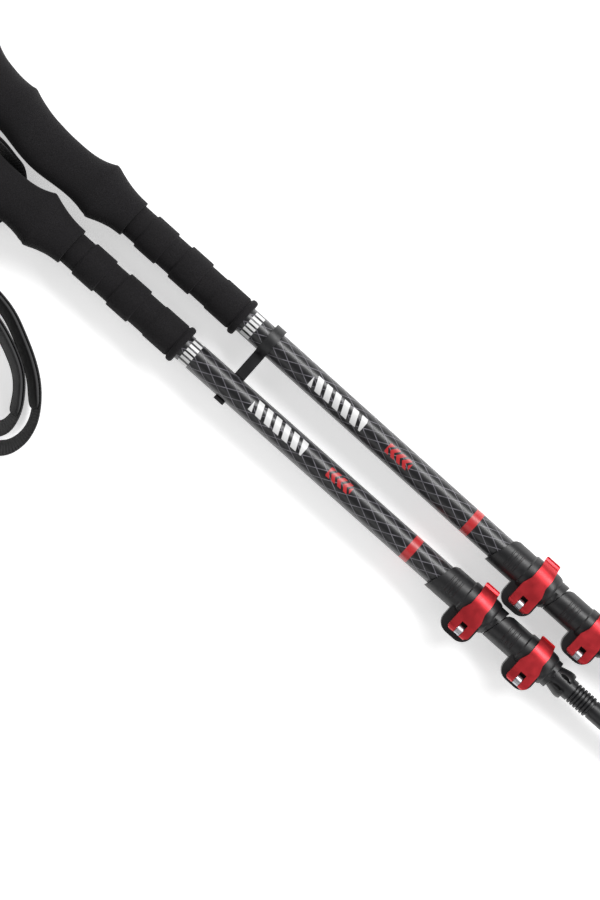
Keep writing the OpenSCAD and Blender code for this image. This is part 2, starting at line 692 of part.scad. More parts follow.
module b_grip() color(foam) in_pole_b() grip();
module b_grip_extension() color(foam) in_pole_b() grip_extension();
module b_grip_plug() color(plastic) in_pole_b() grip_plug();
module b_strap_pin() color(steel) in_pole_b() strap_pin();
module b_strap() color(webbing) on_floor() strap(web_path_b);
module b_strap_pad() color(padding) on_floor() strap_pad(web_path_b, pad_span_b);
module b_upper_tube() color(carbon) in_pole_b() upper_tube();
module b_upper_clamp() color(plastic) in_pole_b() upper_clamp();
module b_upper_cam_plate() color(steel) in_pole_b() cam_plate(upper_reach, upper_pin_y);
module b_upper_lever() color(anodised)
  in_pole_b() lever(upper_reach, upper_body, upper_pin_y, upper_lip);
module b_upper_lever_pin() color(steel) in_pole_b() lever_pin(upper_reach, upper_pin_y);
module b_upper_eye_bolt() color(steel) in_pole_b() eye_bolt(upper_reach, upper_pin_y);
module b_upper_nut() color(plastic) in_pole_b() tension_nut(upper_reach, upper_pin_y);
module b_middle_tube() color(carbon) in_pole_b() middle_tube();
module b_middle_bushing() color(plastic)
  in_pole_b() bushing(middle_top, upper_bore - slide_gap, middle_bore);
module b_lower_clamp() color(plastic) in_pole_b() lower_clamp();
module b_lower_cam_plate() color(steel) in_pole_b() cam_plate(middle_seat, lower_pin_y);
module b_lower_lever() color(anodised)
  in_pole_b() lever(middle_seat, lower_body, lower_pin_y, lower_lip);
module b_lower_lever_pin() color(steel) in_pole_b() lever_pin(middle_seat, lower_pin_y);
module b_lower_eye_bolt() color(steel) in_pole_b() eye_bolt(middle_seat, lower_pin_y);
module b_lower_nut() color(plastic) in_pole_b() tension_nut(middle_seat, lower_pin_y);
module b_lower_tube() color(carbon) in_pole_b() lower_tube();
module b_lower_bushing() color(plastic)
  in_pole_b() bushing(lower_top, middle_bore - slide_gap, lower_bore);
module b_ferrule() color(plastic) in_pole_b() ferrule();
module b_tip_holder() color(steel) in_pole_b() tip_holder();
module b_carbide_tip() color(carbide) in_pole_b() carbide_tip();

module pole_clip() color(plastic) in_pole_a() two_hooks();

a_grip();
a_grip_extension();
a_grip_plug();
a_strap_pin();
a_strap();
a_strap_pad();
a_upper_tube();
a_upper_clamp();
a_upper_cam_plate();
a_upper_lever();
a_upper_lever_pin();
a_upper_eye_bolt();
a_upper_nut();
a_middle_tube();
a_middle_bushing();
a_lower_clamp();
a_lower_cam_plate();
a_lower_lever();
a_lower_lever_pin();
a_lower_eye_bolt();
a_lower_nut();
a_lower_tube();
a_lower_bushing();
a_ferrule();
a_tip_holder();
a_carbide_tip();
b_grip();
b_grip_extension();
b_grip_plug();
b_strap_pin();
b_strap();
b_strap_pad();
b_upper_tube();
b_upper_clamp();
b_upper_cam_plate();
b_upper_lever();
b_upper_lever_pin();
b_upper_eye_bolt();
b_upper_nut();
b_middle_tube();
b_middle_bushing();
b_lower_clamp();
b_lower_cam_plate();
b_lower_lever();
b_lower_lever_pin();
b_lower_eye_bolt();
b_lower_nut();
b_lower_tube();
b_lower_bushing();
b_ferrule();
b_tip_holder();
b_carbide_tip();
pole_clip();
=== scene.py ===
"""Looks of a pair of collapsed folding-lever trekking poles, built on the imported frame.

Each pole has its own axes: x from the handle to the tip with x = 0 where the foam ends, y towards
the finger ridges and z up, in millimetres. A PoleAxes places such a point in the frame, in metres.
"""
import json
import logging
import math
from dataclasses import dataclass, replace
from enum import Enum
from typing import Callable, Sequence

import bmesh
import bpy
from mathutils import Euler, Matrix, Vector

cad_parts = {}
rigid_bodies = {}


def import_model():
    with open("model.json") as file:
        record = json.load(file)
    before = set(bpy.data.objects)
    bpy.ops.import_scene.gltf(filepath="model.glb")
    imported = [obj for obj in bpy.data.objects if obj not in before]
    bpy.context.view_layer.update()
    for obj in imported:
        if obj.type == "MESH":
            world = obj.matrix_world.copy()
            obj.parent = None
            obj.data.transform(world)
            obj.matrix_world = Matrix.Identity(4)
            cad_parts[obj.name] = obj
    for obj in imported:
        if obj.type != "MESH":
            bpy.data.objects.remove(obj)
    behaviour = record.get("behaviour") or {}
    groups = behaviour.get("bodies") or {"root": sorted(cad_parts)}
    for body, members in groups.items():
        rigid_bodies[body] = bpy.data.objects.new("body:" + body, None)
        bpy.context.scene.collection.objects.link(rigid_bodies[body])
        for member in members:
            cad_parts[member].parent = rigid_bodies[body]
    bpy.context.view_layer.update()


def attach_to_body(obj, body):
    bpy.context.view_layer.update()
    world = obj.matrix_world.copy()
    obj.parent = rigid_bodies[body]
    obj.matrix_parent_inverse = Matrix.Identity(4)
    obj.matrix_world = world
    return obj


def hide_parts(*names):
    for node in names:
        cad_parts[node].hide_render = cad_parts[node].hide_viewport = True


LOG = logging.getLogger("poles")
MM = 0.001
Ring = list[Vector]
Outline = list[tuple[float, float]]
Frame = tuple[Vector, Vector, Vector]
Colour = tuple[float, float, float]
Socket = bpy.types.NodeSocket
Node = bpy.types.Node
Piece = bpy.types.Object


# ---- places ----


def cos_sin(degrees: float) -> tuple[float, float]:
    """Cosine and sine of an angle in degrees."""
    return math.cos(math.radians(degrees)), math.sin(math.radians(degrees))


@dataclass(frozen=True)
class PoleAxes:
    """Axes of one pole in the frame.

    Args:
        prefix: first letters of the pole's node names.
        body: body that the pole's handle rides on.
        along: frame x of the pole's zero, in mm.
        across: frame y of the pole's zero, in mm.
        turn: angle of the pole from the frame's x axis, in degrees.
        height: height of the pole's axis over the floor, in mm.
    """

    prefix: str
    body: str
    along: float
    across: float
    turn: float
    height: float = 16.0

    def point(self, x: float, y: float, z: float = 0.0) -> Vector:
        """Place a point of the pole in the frame, in metres."""
        c, s = cos_sin(self.turn)
        flat = Vector((self.along + x * c - y * s, self.across + x * s + y * c))
        return Vector((flat.x, flat.y, self.height + z)) * MM

    def over_floor(self, x: float, y: float, height: float) -> Vector:
        """Place a point by its height over the floor, without the pole's turn."""
        return Vector((self.along + x, self.across + y, height)) * MM

    def node(self, name: str) -> str:
        """Name of one of this pole's nodes."""
        return f"{self.prefix}_{name}"


POLE_A = PoleAxes("a", "pole_a", -87.85, 34.0985, 0.0)
POLE_B = PoleAxes("b", "pole_b", -72.25, 68.0985, -0.3)
POLES = (POLE_A, POLE_B)


class Slot(Enum):
    """Material slots of the record that visible pieces name."""

    FOAM = "foam"
    WEBBING = "webbing"
    PAD = "pad"
    CLAMP = "clamp"
    LEVER = "lever"
    STEEL = "steel"
    TIP = "tip"
    CLIP = "clip"


# ---- modelling helpers ----


def deselect_all() -> None:
    """Leave nothing selected, in object mode."""
    if bpy.context.mode != "OBJECT":
        bpy.ops.object.mode_set(mode="OBJECT")
    bpy.ops.object.select_all(action="DESELECT")


def make_active(piece: Piece) -> None:
    """Select one piece alone and make it active."""
    deselect_all()
    piece.select_set(True)
    bpy.context.view_layer.objects.active = piece


def apply_modifier(piece: Piece, kind: str, **values: object) -> None:
    """Add a modifier to a piece and apply it.

    Args:
        piece: the piece that is changed.
        kind: Blender's name for the modifier.
        values: settings of the modifier.
    """
    make_active(piece)
    modifier = piece.modifiers.new(kind.title(), kind)
    for name, value in values.items():
        setattr(modifier, name, value)
    bpy.ops.object.modifier_apply(modifier=modifier.name)


def smooth_by_angle(piece: Piece, degrees: float) -> None:
    """Shade a piece smooth across edges flatter than an angle."""
    make_active(piece)
    bpy.ops.object.shade_smooth_by_angle(angle=math.radians(degrees))


def loft(
    name: str, rings: Sequence[Ring], closed: bool, lengths: Sequence[float] = ()
) -> Piece:
    """Skin a row of rings.

    Args:
        name: name of the new piece.
        rings: rings of points in the frame, all of one length.
        closed: whether the last ring joins the first; if not, both ends are capped.
        lengths: arc length at each ring in metres, kept as the UV map's first value.

    Returns:
        The new object, with its place in its mesh.
    """
    mesh = bpy.data.meshes.new(name)
    build = bmesh.new()
    layer = build.loops.layers.uv.new("UVMap")
    grid = [[build.verts.new(p) for p in ring] for ring in rings]
    sides = len(rings[0])
    count = len(rings) if closed else len(rings) - 1
    for i in range(count):
        low, high = grid[i], grid[(i + 1) % len(grid)]
        for k in range(sides):
            j = (k + 1) % sides
            face = build.faces.new((low[k], low[j], high[j], high[k]))
            if lengths:
                ends = (lengths[i], lengths[i], lengths[i + 1], lengths[i + 1])
                marks = (k / sides, (k + 1) / sides, (k + 1) / sides, k / sides)
                for loop, u, v in zip(face.loops, ends, marks):
                    loop[layer].uv = (u, v)
    if not closed:
        build.faces.new(grid[0][::-1])
        build.faces.new(grid[-1])
    bmesh.ops.recalc_face_normals(build, faces=build.faces)
    build.to_mesh(mesh)
    build.free()
    piece = bpy.data.objects.new(name, mesh)
    bpy.context.collection.objects.link(piece)
    return piece


def spline(points: Sequence[Sequence[float]], steps: int, closed: bool) -> list[list[float]]:
    """Run a Catmull-Rom curve through points of any number of values.

    Args:
        points: the points that the curve passes.
        steps: curve points to each stretch.
        closed: whether the curve returns to its start.

    Returns:
        The points of the curve.
    """
    count = len(points)

    def at(i: int) -> Sequence[float]:
        """Point i, taken round a closed curve and held at an open one's ends."""
        return points[i % count] if closed else points[min(max(i, 0), count - 1)]

    curve = []
    for i in range(count if closed else count - 1):
        four = (at(i - 1), at(i), at(i + 1), at(i + 2))
        for k in range(steps):
            u = k / steps
            curve.append([
                0.5 * (2 * b + (c - a) * u + (2 * a - 5 * b + 4 * c - d) * u * u
                       + (3 * b - a - 3 * c + d) * u ** 3)
                for a, b, c, d in zip(*four)
            ])
    if not closed:
        curve.append(list(points[-1]))
    return curve


# ---- shader helpers ----


class Graph:
    """A node tree that is filled in by short calls."""

    def __init__(self, tree: bpy.types.NodeTree) -> None:
        """Keep the tree that nodes are added to."""
        self.tree = tree

    def node(self, kind: str, inputs: dict | None = None, **settings: object) -> Node:
        """Add a node.

        Args:
            kind: Blender's type name of the node.
            inputs: values or sockets for its inputs, by name or index.
            settings: properties of the node.

        Returns:
            The new node.
        """
        node = self.tree.nodes.new(kind)
        for name, value in settings.items():
            setattr(node, name, value)
        for key, value in (inputs or {}).items():
            if isinstance(value, Socket):
                self.tree.links.new(value, node.inputs[key])
            else:
                node.inputs[key].default_value = value
        return node

    def math(self, operation: str, *values: object) -> Socket:
        """Add a Math node and return its output."""
        node = self.node("ShaderNodeMath", dict(enumerate(values)), operation=operation)
        return node.outputs[0]

    def times(self, first: object, *others: object) -> Socket:
        """Multiply values."""
        for other in others:
            first = self.math("MULTIPLY", first, other)
        return first

    def ramp(
        self, value: object, low: float, high: float, start: float = 0.0, end: float = 1.0
    ) -> Socket:
        """Turn a value from low to high into a smooth step from start to end."""
        node = self.node(
            "ShaderNodeMapRange",
            {"Value": value, "From Min": low, "From Max": high, "To Min": start, "To Max": end},
            interpolation_type="SMOOTHSTEP",
        )
        return node.outputs["Result"]

    def mix(self, share: object, first: object, second: object) -> Socket:
        """Mix two colours by a share; a plain one is given as red, green and blue."""
        first, second = (c if isinstance(c, Socket) else (*c, 1.0) for c in (first, second))
        node = self.node("ShaderNodeMix", {0: share, 6: first, 7: second}, data_type="RGBA")
        return node.outputs[2]

    def noise(
        self, vector: object, scale: float, detail: float = 3.0, rough: float = 0.5
    ) -> Socket:
        """Add a noise texture and return its value."""
        node = self.node(
            "ShaderNodeTexNoise",
            {"Vector": vector, "Scale": scale, "Detail": detail, "Roughness": rough},
        )
        return node.outputs[0]

    def bump(self, height: object, distance: float) -> Socket:
        """Add a Bump node at full strength and return its normal."""
        inputs = {"Height": height, "Distance": distance, "Strength": 1.0}
        return self.node("ShaderNodeBump", inputs).outputs[0]

    def place(self, vector: object, **values: object) -> Socket:
        """Add a Mapping node and return its vector."""
        return self.node("ShaderNodeMapping", {"Vector": vector, **values}).outputs[0]

    def split(self, vector: object) -> list[Socket]:
        """Split a vector into its three values."""
        return list(self.node("ShaderNodeSeparateXYZ", {0: vector}).outputs)

    def off_middle(self, value: object) -> Socket:
        """Distance of a value's fraction from one half."""
        place = self.math("FRACT", value)
        return self.math("ABSOLUTE", self.math("SUBTRACT", place, 0.5))

    def link(self, target: Node, **sockets: Socket) -> None:
        """Link sockets to a node's inputs, named with _ for a space."""
        for name, socket in sockets.items():
            self.tree.links.new(socket, target.inputs[name.replace("_", " ")])


@dataclass(frozen=True)
class Effect:
    """A shader node group that several materials share.

    Args:
        name: name of the group.
        inputs: names, socket types and start values of the inputs.
        outputs: names of the outputs, which are all single values.
        draw: fills in the group's nodes from its input and output nodes.
    """

    name: str
    inputs: tuple[tuple[str, str, object], ...]
    outputs: tuple[str, ...]
    draw: Callable[[Graph, Node, Node], None]

    def group(self) -> bpy.types.NodeTree:
        """Return the group, built the first time it is asked for."""
        if self.name in bpy.data.node_groups:
            return bpy.data.node_groups[self.name]
        tree = bpy.data.node_groups.new(self.name, "ShaderNodeTree")
        for name, kind, value in self.inputs:
            socket = tree.interface.new_socket(name, in_out="INPUT", socket_type=kind)
            if value is not None:
                socket.default_value = value
        for name in self.outputs:
            tree.interface.new_socket(name, in_out="OUTPUT", socket_type=FLOAT)
        graph = Graph(tree)
        self.draw(graph, graph.node("NodeGroupInput"), graph.node("NodeGroupOutput"))
        return tree

    def use(self, graph: Graph, **values: object) -> Node:
        """Place the group in a material.

        Args:
            graph: the material's graph.
            values: the group's inputs, by name with _ for a space.

        Returns:
            The group's node.
        """
        inputs = {name.replace("_", " "): value for name, value in values.items()}
        return graph.node("ShaderNodeGroup", inputs, node_tree=self.group())


FLOAT, VECTOR = "NodeSocketFloat", "NodeSocketVector"


def draw_grain(graph: Graph, given: Node, result: Node) -> None:
    """Fill in the grain group: closed pores and a broad unevenness."""
    vector = given.outputs["Vector"]
    inputs = {0: vector, "Scale": given.outputs["Scale"]}
    scaled = graph.node("ShaderNodeVectorMath", inputs, operation="SCALE").outputs[0]
    cells = graph.node("ShaderNodeTexVoronoi", {"Vector": scaled, "Scale": 1.0})
    fine = graph.noise(scaled, 0.9, 4.0, 0.65)
    pores = graph.ramp(cells.outputs["Distance"], 0.05, 0.55)
    height = graph.math("MULTIPLY_ADD", pores, 0.45, fine)
    broad = graph.noise(scaled, 0.045, 2.0)
    graph.link(result, Height=height, Speckle=graph.ramp(fine, 0.3, 0.7),
               Broad=graph.ramp(broad, 0.35, 0.65))


GRAIN = Effect(
    "grain",
    (("Vector", VECTOR, None), ("Scale", FLOAT, 1000.0)),
    ("Height", "Speckle", "Broad"),
    draw_grain,
)


def draw_lattice(graph: Graph, given: Node, result: Node) -> None:
    """Fill in the lattice group: two crossed sets of thin strands wound round the tube."""
    x, y, z = graph.split(given.outputs["Vector"])
    turn = graph.math("DIVIDE", graph.math("ARCTAN2", z, y), 2 * math.pi)
    around = graph.times(turn, given.outputs["Strands"])
    along = graph.math("DIVIDE", x, given.outputs["Pitch"])
    masks = []
    for operation in ("ADD", "SUBTRACT"):
        off = graph.off_middle(graph.math(operation, along, around))
        masks.append(graph.ramp(off, 0.018, 0.062, 1.0, 0.0))
    graph.link(result, Mask=graph.math("MAXIMUM", *masks))


LATTICE = Effect(
    "strand_lattice",
    (("Vector", VECTOR, None), ("Pitch", FLOAT, 0.0111), ("Strands", FLOAT, 9.0)),
    ("Mask",),
    draw_lattice,
)


def draw_ribs(graph: Graph, given: Node, result: Node) -> None:
    """Fill in the rib group: cross ribs of a woven band with fine yarns in them."""
    u, v, _ = graph.split(given.outputs["UV"])
    rib_off = graph.off_middle(graph.math("DIVIDE", u, given.outputs["Pitch"]))
    rib = graph.ramp(rib_off, 0.08, 0.42)
    yarn_off = graph.off_middle(graph.times(v, given.outputs["Yarns"]))
    yarn = graph.ramp(yarn_off, 0.1, 0.48)
    graph.link(result, Height=graph.math("MULTIPLY_ADD", yarn, 0.3, rib), Rib=rib)


RIBS = Effect(
    "woven_ribs",
    (("UV", VECTOR, None), ("Pitch", FLOAT, 0.0022), ("Yarns", FLOAT, 60.0)),
    ("Height", "Rib"),
    draw_ribs,
)


def draw_edges(graph: Graph, given: Node, result: Node) -> None:
    """Fill in the edge group: the two long edges of a band."""
    _, v, _ = graph.split(given.outputs["UV"])
    off = graph.off_middle(graph.math("MULTIPLY_ADD", v, 2.0, 0.5))
    share = graph.math("DIVIDE", off, given.outputs["Width"])
    graph.link(result, Mask=graph.ramp(share, 0.6, 1.0, 1.0, 0.0))


EDGES = Effect(
    "band_edges",
    (("UV", VECTOR, None), ("Width", FLOAT, 0.15)),
    ("Mask",),
    draw_edges,
)


@dataclass(frozen=True)
class Finish:
    """Base of the finishes: a name, a colour and the values that are the same all over.

    Args:
        name: name of the material.
        colour: base colour, linear.
        rough: roughness.
        metal: metallic share.
        coat: clear coat weight.
        coat_rough: roughness of the coat.
        sheen: sheen weight.
        specular: specular level.
        glow: light given off, as by a lit table.
    """

    name: str
    colour: Colour
    rough: float = 0.5
    metal: float = 0.0
    coat: float = 0.0
    coat_rough: float = 0.05
    sheen: float = 0.0
    specular: float = 0.5
    glow: float = 0.0

    def paint(self, graph: Graph, shader: Node) -> None:
        """Add what varies over the surface; a plain finish adds nothing."""

    def material(self) -> bpy.types.Material:
        """Return the material, built the first time it is asked for."""
        if self.name in bpy.data.materials:
            return bpy.data.materials[self.name]
        material = bpy.data.materials.new(self.name)
        material.use_nodes = True
        shader = material.node_tree.nodes["Principled BSDF"]
        constants = {
            "Base Color": (*self.colour, 1.0), "Roughness": self.rough, "Metallic": self.metal,
            "Coat Weight": self.coat, "Coat Roughness": self.coat_rough,
            "Sheen Weight": self.sheen, "Specular IOR Level": self.specular,
            "Emission Strength": self.glow,
        }
        for socket, value in constants.items():
            shader.inputs[socket].default_value = value
        self.paint(Graph(material.node_tree), shader)
        return material

    @staticmethod
    def here(graph: Graph) -> Socket:
        """Object coordinates of the piece."""
        return graph.node("ShaderNodeTexCoord").outputs["Object"]

    @staticmethod
    def band_uv(graph: Graph) -> Socket:
        """The piece's own UV map: length along a band and place round it."""
        return graph.node("ShaderNodeUVMap", uv_map="UVMap").outputs[0]


@dataclass(frozen=True)
class GrainedFinish(Finish):
    """Foam or moulded plastic with a grain.

    Args:
        scale: grains per metre.
        depth: depth of the grain in metres.
        light: colour of the lighter specks.
    """

    scale: float = 1800.0
    depth: float = 0.00002
    light: Colour = (0.03, 0.03, 0.03)

    def finer(self, graph: Graph, colour: Socket) -> Socket:
        """Add finer details to a colour; a plain grain adds nothing."""
        return colour

    def paint(self, graph: Graph, shader: Node) -> None:
        """Add the grain's relief, specks and uneven gloss."""
        grain = GRAIN.use(graph, Vector=self.here(graph), Scale=self.scale)
        patches = graph.ramp(grain.outputs["Broad"], 0.0, 1.0, 0.7, 1.0)
        speckle = graph.times(grain.outputs["Speckle"], patches)
        colour = self.finer(graph, graph.mix(speckle, self.colour, self.light))
        rough = graph.math("MULTIPLY_ADD", grain.outputs["Broad"], 0.08, self.rough - 0.04)
        normal = graph.bump(grain.outputs["Height"], self.depth)
        graph.link(shader, Base_Color=colour, Roughness=rough, Normal=normal)


@dataclass(frozen=True)
class BoundFinish(GrainedFinish):
    """Cloth with a lighter bound edge and a row of stitches beside it.

    Args:
        edge: colour of the bound edge.
        thread: colour of the stitches.
        pitch: length of a stitch and its gap in metres.
        bound: width of the bound edge, as a share of the band's half width.
        row: inner and outer edge of the row of stitches, counted the same way.
    """

    edge: Colour = (0.06, 0.06, 0.062)
    thread: Colour = (0.035, 0.035, 0.037)
    pitch: float = 0.0026
    bound: float = 0.1
    row: tuple[float, float] = (0.26, 0.36)

    def finer(self, graph: Graph, colour: Socket) -> Socket:
        """Add the bound edge and the stitches to a colour."""
        uv = self.band_uv(graph)
        edge, inner, outer = (EDGES.use(graph, UV=uv, Width=width).outputs["Mask"]
                              for width in (self.bound, *self.row))
        row = graph.math("SUBTRACT", outer, inner)
        u, _, _ = graph.split(uv)
        place = graph.math("FRACT", graph.math("DIVIDE", u, self.pitch))
        stitch = graph.times(row, graph.ramp(place, 0.62, 0.72, 1.0, 0.0))
        colour = graph.mix(stitch, colour, self.thread)
        return graph.mix(edge, colour, self.edge)


@dataclass(frozen=True)
class WovenFinish(Finish):
    """Ribbed webbing, read from the band's own UV map.

    Args:
        pitch: distance between ribs in metres.
        depth: depth of a rib in metres.
        light: colour on top of a rib.
        edge: colour of the two long edges.
        bound: width of an edge, as a share of the band's half width.
    """

    pitch: float = 0.0016
    depth: float = 0.0002
    light: Colour = (0.034, 0.034, 0.036)
    edge: Colour = (0.055, 0.055, 0.057)
    bound: float = 0.14

    def paint(self, graph: Graph, shader: Node) -> None:
        """Add ribs, yarns and rib tops that are lighter, more so in patches."""
        uv = self.band_uv(graph)
        ribs = RIBS.use(graph, UV=uv, Pitch=self.pitch)
        # every rib top is coloured lighter, 35 to 100 percent of the way to the light colour, the
        # share varying in patches from a noise
        crest_patchiness = graph.noise(self.here(graph), 90.0, 4.0)
        top = graph.times(ribs.outputs["Rib"], graph.ramp(crest_patchiness, 0.3, 0.75, 0.35, 1.0))
        colour = graph.mix(top, self.colour, self.light)
        edge = EDGES.use(graph, UV=uv, Width=self.bound).outputs["Mask"]
        colour = graph.mix(edge, colour, self.edge)
        normal = graph.bump(ribs.outputs["Height"], self.depth)
        graph.link(shader, Base_Color=colour, Normal=normal)


class Print(Enum):
    """What is printed on a tube."""

    TRIM = 1
    SCALE = 2


@dataclass(frozen=True)
class Row:
    """A row of printed stripes on a tube, in mm.

    Args:
        pitch: distance between stripes.
        share: share of the pitch that a stripe covers.
        start: station where the row starts.
        end: station where the row ends.
        half: half width of the row.
    """

    pitch: float
    share: float
    start: float
    end: float
    half: float = 0.0


BARS = Row(6.5, 0.62, 49.8, 88.8, 4.05)
BAR_LEAN = 0.45
DASHES = Row(2.6, 0.6, 2.4, 8.6)
CHEVRONS = Row(4.3, 0.6, 106.0, 123.0, 3.1)
CHEVRON_FOLD = 0.8
RED_BAND = (166.5, 171.7)
SHORT_DASHES = Row(10.0, 0.07, 0.0, 232.0, 1.6)
LONG_DASHES = Row(50.0, 0.03, 0.0, 232.0, 4.2)
SCALE_RED_BAND = (-14.0, -9.0)
PRINT_WHITE = (0.78, 0.78, 0.78)
PRINT_RED = (0.52, 0.02, 0.025)


@dataclass(frozen=True)
class CarbonFinish(Finish):
    """Clear-coated wound carbon tube.

    Args:
        axes: the pole that the tube belongs to.
        strand: colour of the lighter strands.
        marks: what is printed on the tube.
        start: pole station where the printed scale starts, in mm.
        shift: how far the printed bars lie off the tube's middle line, in mm.
    """

    axes: PoleAxes = POLE_A
    strand: Colour = (0.23, 0.22, 0.25)
    marks: Print = Print.TRIM
    start: float = 0.0
    shift: float = 0.0

    def band(self, graph: Graph, value: Socket, low: float, high: float) -> Socket:
        """Mask that is 1 between two values in mm and 0 elsewhere, with soft edges."""
        soft = 0.12
        rise = graph.ramp(value, low - soft, low + soft)
        fall = graph.ramp(value, high - soft, high + soft, 1.0, 0.0)
        return graph.times(rise, fall)

    def stripes(self, graph: Graph, value: Socket, row: Row) -> Socket:
        """Mask of a row's stripes across a value in mm."""
        soft = 0.03
        off = graph.off_middle(graph.math("DIVIDE", value, row.pitch))
        return graph.ramp(off, row.share / 2 - soft, row.share / 2 + soft, 1.0, 0.0)

    def trim(self, graph: Graph, x: Socket, y: Socket, up: Socket) -> tuple[Socket, Socket]:
        """White and red masks of the plain printed trim of an upper tube."""
        y = graph.math("SUBTRACT", y, self.shift)
        lean = graph.math("MULTIPLY_ADD", y, BAR_LEAN, x)
        side = graph.times(graph.math("ABSOLUTE", y), CHEVRON_FOLD)
        fold = graph.math("SUBTRACT", x, side)
        bars, chevrons = (
            graph.times(self.stripes(graph, value, row), self.band(graph, x, row.start, row.end),
                        self.band(graph, y, -row.half, row.half))
            for value, row in ((lean, BARS), (fold, CHEVRONS))
        )
        dashes = graph.times(self.stripes(graph, y, DASHES),
                             self.band(graph, x, DASHES.start, DASHES.end))
        white = graph.times(graph.math("MAXIMUM", bars, dashes), up)
        red = graph.math("MAXIMUM", graph.times(chevrons, up), self.band(graph, x, *RED_BAND))
        return white, red

    def scale(self, graph: Graph, x: Socket, y: Socket, up: Socket) -> tuple[Socket, Socket]:
        """White and red masks of a length scale: a dash each 10 mm and a long one each 50 mm."""
        run = self.band(graph, x, self.start + SHORT_DASHES.start, self.start + SHORT_DASHES.end)
        short, tall = (
            graph.times(
                self.stripes(graph, graph.math("SUBTRACT", x, self.start - row.pitch / 2), row),
                self.band(graph, y, -row.half, row.half))
            for row in (SHORT_DASHES, LONG_DASHES)
        )
        white = graph.times(graph.math("MAXIMUM", short, tall), run, up)
        return white, self.band(graph, x, *(self.start + edge for edge in SCALE_RED_BAND))

    def paint(self, graph: Graph, shader: Node) -> None:
        """Add the strands under the coat and the printed marks on it."""
        origin = self.axes.point(0.0, 0.0)
        turn = math.radians(self.axes.turn)
        moved = graph.node(
            "ShaderNodeVectorMath", {0: self.here(graph), 1: origin}, operation="SUBTRACT")
        local = graph.place(moved.outputs[0], Rotation=(0.0, 0.0, -turn))
        lattice = LATTICE.use(graph, Vector=local).outputs["Mask"]
        blotch = graph.ramp(graph.noise(local, 260.0, 3.0), 0.3, 0.7, 0.45, 1.0)
        strands = graph.times(lattice, blotch)
        colour = graph.mix(strands, self.colour, self.strand)
        rough = graph.ramp(strands, 0.0, 1.0, self.rough, self.rough + 0.15)
        in_mm = graph.node("ShaderNodeVectorMath", {0: local, "Scale": 1 / MM}, operation="SCALE")
        x, y, z = graph.split(in_mm.outputs[0])
        up = graph.ramp(z, 0.5, 1.5)
        printed = self.trim if self.marks is Print.TRIM else self.scale
        white, red = printed(graph, x, y, up)
        colour = graph.mix(white, colour, PRINT_WHITE)
        colour = graph.mix(red, colour, PRINT_RED)
        graph.link(shader, Base_Color=colour, Roughness=rough)


@dataclass(frozen=True)
class BrushedFinish(Finish):
    """Turned or anodised metal with fine tool marks and rubbed patches.

    Args:
        worn: colour of the rubbed patches.
        lines: tool marks per metre.
        depth: depth of the tool marks in metres.
    """

    worn: Colour = (0.8, 0.8, 0.8)
    lines: float = 2600.0
    depth: float = 0.00001

    def paint(self, graph: Graph, shader: Node) -> None:
        """Add tool marks, uneven gloss and rubbed patches."""
        here = self.here(graph)
        drawn = graph.place(here, Scale=(self.lines, 120.0, self.lines))
        marks = graph.noise(drawn, 1.0, 2.0)
        broad = graph.noise(here, 160.0, 4.0, 0.6)
        rough = graph.ramp(broad, 0.3, 0.7, self.rough - 0.06, self.rough + 0.08)
        rubbed = graph.ramp(broad, 0.66, 0.78, 0.0, 0.3)
        colour = graph.mix(rubbed, self.colour, self.worn)
        normal = graph.bump(marks, self.depth)
        graph.link(shader, Base_Color=colour, Roughness=rough, Normal=normal)


FOAM = GrainedFinish("closed_cell_foam", (0.0072, 0.0066, 0.0074), rough=0.9, sheen=0.03,
                     specular=0.2, scale=1900.0, depth=0.00014, light=(0.02, 0.0188, 0.0205))
WEBBING = WovenFinish("ribbed_webbing", (0.005, 0.005, 0.0055), rough=0.8, sheen=0.1, specular=0.3)
PAD_CLOTH = BoundFinish("pad_cloth", (0.005, 0.005, 0.0055), rough=0.8, sheen=0.08, specular=0.25,
                        scale=2600.0, depth=0.00008, light=(0.014, 0.014, 0.015))
PLUG = GrainedFinish("plug_plastic", (0.018, 0.018, 0.02), rough=0.5, scale=1500.0)
CLAMP = GrainedFinish("clamp_nylon", (0.005, 0.005, 0.006), rough=0.42, specular=0.6,
                      scale=2200.0, light=(0.01, 0.01, 0.0115))
TIP = replace(CLAMP, name="tip_nylon", rough=0.4, scale=2000.0, light=(0.011, 0.011, 0.0125))
CLIP = replace(TIP, name="clip_nylon", rough=0.42)
BUSHING = GrainedFinish("bushing_acetal", (0.03, 0.03, 0.033), rough=0.45, scale=1400.0,
                        light=(0.04, 0.04, 0.042))
LEVER = BrushedFinish("red_anodised", (0.62, 0.035, 0.045), rough=0.4, metal=0.8, coat=0.15,
                      coat_rough=0.2, worn=(0.6, 0.06, 0.07))
STEEL = BrushedFinish("turned_steel", (0.55, 0.55, 0.58), rough=0.4, metal=1.0, depth=0.000003)
NUT = BrushedFinish("black_anodised", (0.035, 0.035, 0.04), rough=0.32, metal=0.8,
                    worn=(0.2, 0.2, 0.2))
CARBIDE = BrushedFinish("ground_carbide", (0.34, 0.34, 0.36), rough=0.35, metal=1.0,
                        worn=(0.5, 0.5, 0.5))


def carbon(axes: PoleAxes, marks: Print, start: float = 0.0) -> CarbonFinish:
    """Finish of one pole's tube with its printed marks."""
    shift = 1.8 if axes is POLE_A else 0.0
    return CarbonFinish(f"wound_carbon_{axes.prefix}_{marks.name.lower()}_{int(start)}",
                        (0.0045, 0.0045, 0.006), rough=0.38, coat=0.5, coat_rough=0.3, axes=axes,
                        marks=marks, start=start, shift=shift)


def dress(piece: Piece, finish: Finish) -> None:
    """Give every material slot of a piece one finish."""
    material = finish.material()
    if not piece.material_slots:
        piece.data.materials.append(material)
    for slot in piece.material_slots:
        slot.material = material


